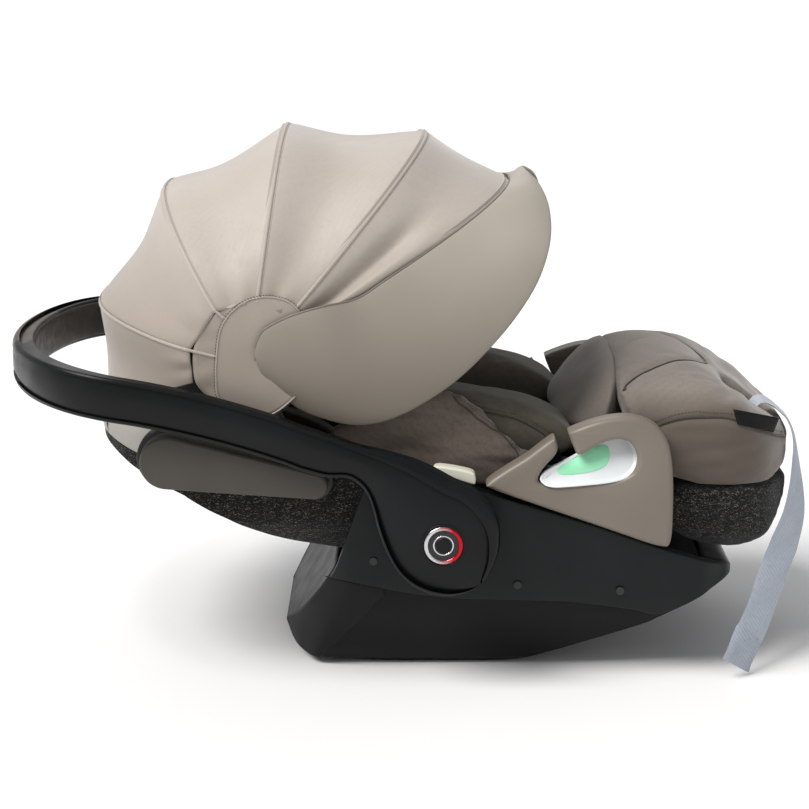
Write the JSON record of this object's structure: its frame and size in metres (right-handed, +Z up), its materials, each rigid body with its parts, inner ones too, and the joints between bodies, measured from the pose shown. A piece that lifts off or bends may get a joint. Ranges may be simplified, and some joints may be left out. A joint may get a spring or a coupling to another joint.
{
  "type": "infant car seat",
  "caption": "Rear-facing infant carrier shell with swing handle, folding hooded canopy, reclining padded back, harness and sliding leg rest.",
  "frame": {"origin": "floor level, middle of the seat's footprint box", "axes": "+X to the foot end, +Y to the child's left side, +Z up"},
  "size_m": [0.802, 0.441, 0.5268],
  "materials": {
    "shell_plastic": "fine texture",
    "cover_plastic": "satin",
    "foot_plastic": "satin",
    "steel": "brushed",
    "guide_plastic": "satin",
    "white_plastic": "smooth",
    "green_marker": "smooth",
    "pan_plastic": "textured",
    "seat_fabric": "jersey knit",
    "inlay_fabric": "soft jersey",
    "wing_fabric": "satin weave",
    "web_black": "webbing",
    "web_grey": "webbing",
    "tab_grey": "stitched webbing",
    "buckle_plastic": "satin",
    "button_red": "smooth",
    "handle_plastic": "satin",
    "trim_leatherette": "grained",
    "hub_plastic": "satin",
    "badge_chrome": "polished",
    "knit_black": "melange knit",
    "mesh_white": "spacer mesh",
    "foam_white": "foam beads",
    "canopy_fabric": "satin twill",
    "bow_plastic": "satin",
    "visor_plastic": "smooth matte",
    "pad_plastic": "smooth",
    "tab_cream": "smooth",
    "tag_black": "plain cloth"
  },
  "bodies": {
    "shell": {"base_shell": "shell_plastic", "side_cover_left": "cover_plastic", "side_cover_right": "cover_plastic", "rear_foot_cover": "foot_plastic", "base_latch_bars": "steel", "pivot_axles": "steel", "belt_guide_left": "guide_plastic", "belt_guide_right": "guide_plastic", "belt_guide_inserts": "white_plastic", "belt_guide_markers": "green_marker", "seat_pan": "pan_plastic", "seat_cushion": "seat_fabric", "hip_straps": "web_black", "crotch_strap": "web_black", "buckle_housing": "buckle_plastic", "buckle_tongues": "steel", "cover_screws": "steel"},
    "handle": {"handle_bar": "handle_plastic", "handle_trim": "trim_leatherette", "hub_caps": "hub_plastic"},
    "handle_button_left": {"handle_button_left": "badge_chrome"},
    "handle_button_right": {"handle_button_right": "badge_chrome"},
    "back": {"back_shell": "knit_black", "rear_vent_panel": "mesh_white", "foam_liner": "foam_white", "back_cushion": "seat_fabric", "inlay": "inlay_fabric", "side_wings": "wing_fabric", "canopy_pins": "steel", "rear_bow": "bow_plastic", "canopy_back": "canopy_fabric", "lsp_guides": "steel"},
    "headrest": {"headrest_shell": "pan_plastic", "headrest_cushion": "inlay_fabric", "shoulder_pads": "inlay_fabric", "harness_straps": "web_black"},
    "side_pad_left": {"lsp_left": "pad_plastic"},
    "side_pad_right": {"lsp_right": "pad_plastic"},
    "bow_1": {"bow_1": "bow_plastic", "canopy_1": "canopy_fabric"},
    "bow_2": {"bow_2": "bow_plastic", "canopy_2": "canopy_fabric"},
    "bow_3": {"bow_3": "bow_plastic", "canopy_3": "canopy_fabric"},
    "visor": {"visor_bow": "bow_plastic", "canopy_4": "canopy_fabric", "visor_panel": "visor_plastic"},
    "leg_rest": {"leg_rest_shell": "knit_black", "leg_rest_cushion": "seat_fabric", "strap_guide": "buckle_plastic", "adjuster_strap": "web_grey", "strap_end_tab": "tab_grey", "cloth_tag": "tag_black"},
    "release_tab_left": {"release_tab_left": "tab_cream"},
    "release_tab_right": {"release_tab_right": "tab_cream"},
    "buckle_button": {"buckle_button": "button_red"},
    "adjuster_lever": {"adjuster_lever": "steel"}
  },
  "joints": [
    {"name": "handle_swing", "type": "hinge", "parent": "shell", "child": "handle", "pos_m": [0.037, 0, 0.148], "axis": [0, 1, 0], "range_deg": [0, 112]},
    {"name": "handle_button_left_press", "type": "slide", "parent": "handle", "child": "handle_button_left", "axis": [0, -1, 0], "range_m": [0, 0.003], "stiffness_N_per_m": 800},
    {"name": "handle_button_right_press", "type": "slide", "parent": "handle", "child": "handle_button_right", "axis": [0, 1, 0], "range_m": [0, 0.003], "stiffness_N_per_m": 800},
    {"name": "back_recline", "type": "hinge", "parent": "shell", "child": "back", "pos_m": [0.037, 0, 0.148], "axis": [0, 1, 0], "range_deg": [0, 24]},
    {"name": "leg_rest_slide", "type": "slide", "parent": "shell", "child": "leg_rest", "axis": [-0.952, 0, 0.306], "range_m": [0, 0.03]},
    {"name": "headrest_slide", "type": "slide", "parent": "back", "child": "headrest", "axis": [0.9488, 0, -0.3159], "range_m": [0, 0.05]},
    {"name": "side_pad_left_slide", "type": "slide", "parent": "back", "child": "side_pad_left", "axis": [0, 1, 0], "range_m": [0, 0.03]},
    {"name": "side_pad_right_slide", "type": "slide", "parent": "back", "child": "side_pad_right", "axis": [0, -1, 0], "range_m": [0, 0.03]},
    {"name": "bow_1_fold", "type": "hinge", "parent": "back", "child": "bow_1", "pos_m": [-0.146, 0, 0.319], "axis": [0, -1, 0], "range_deg": [0, 32]},
    {"name": "bow_2_fold", "type": "hinge", "parent": "bow_1", "child": "bow_2", "pos_m": [-0.146, 0, 0.319], "axis": [0, -1, 0], "range_deg": [0, 32]},
    {"name": "bow_3_fold", "type": "hinge", "parent": "bow_2", "child": "bow_3", "pos_m": [-0.146, 0, 0.319], "axis": [0, -1, 0], "range_deg": [0, 24]},
    {"name": "visor_fold", "type": "hinge", "parent": "bow_3", "child": "visor", "pos_m": [-0.146, 0, 0.319], "axis": [0, -1, 0], "range_deg": [0, 8]},
    {"name": "release_tab_left_slide", "type": "slide", "parent": "shell", "child": "release_tab_left", "axis": [-1, 0, 0], "range_m": [0, 0.008], "stiffness_N_per_m": 300},
    {"name": "release_tab_right_slide", "type": "slide", "parent": "shell", "child": "release_tab_right", "axis": [-1, 0, 0], "range_m": [0, 0.008], "stiffness_N_per_m": 300},
    {"name": "buckle_button_press", "type": "slide", "parent": "shell", "child": "buckle_button", "axis": [0, 0, -1], "range_m": [0, 0.003], "stiffness_N_per_m": 1500},
    {"name": "adjuster_lever_press", "type": "hinge", "parent": "leg_rest", "child": "adjuster_lever", "pos_m": [0.341, -0.06, 0.234], "axis": [0, -1, 0], "range_deg": [0, 9], "stiffness_Nm_per_rad": 0.4}
  ],
  "couplings": [
    {"joint": "bow_2_fold", "follows": "bow_1_fold", "ratio": 1},
    {"joint": "bow_3_fold", "follows": "bow_1_fold", "ratio": 0.75},
    {"joint": "visor_fold", "follows": "bow_1_fold", "ratio": 0.25},
    {"joint": "leg_rest_slide", "follows": "back_recline", "m_per_rad": 0.07152}
  ]
}
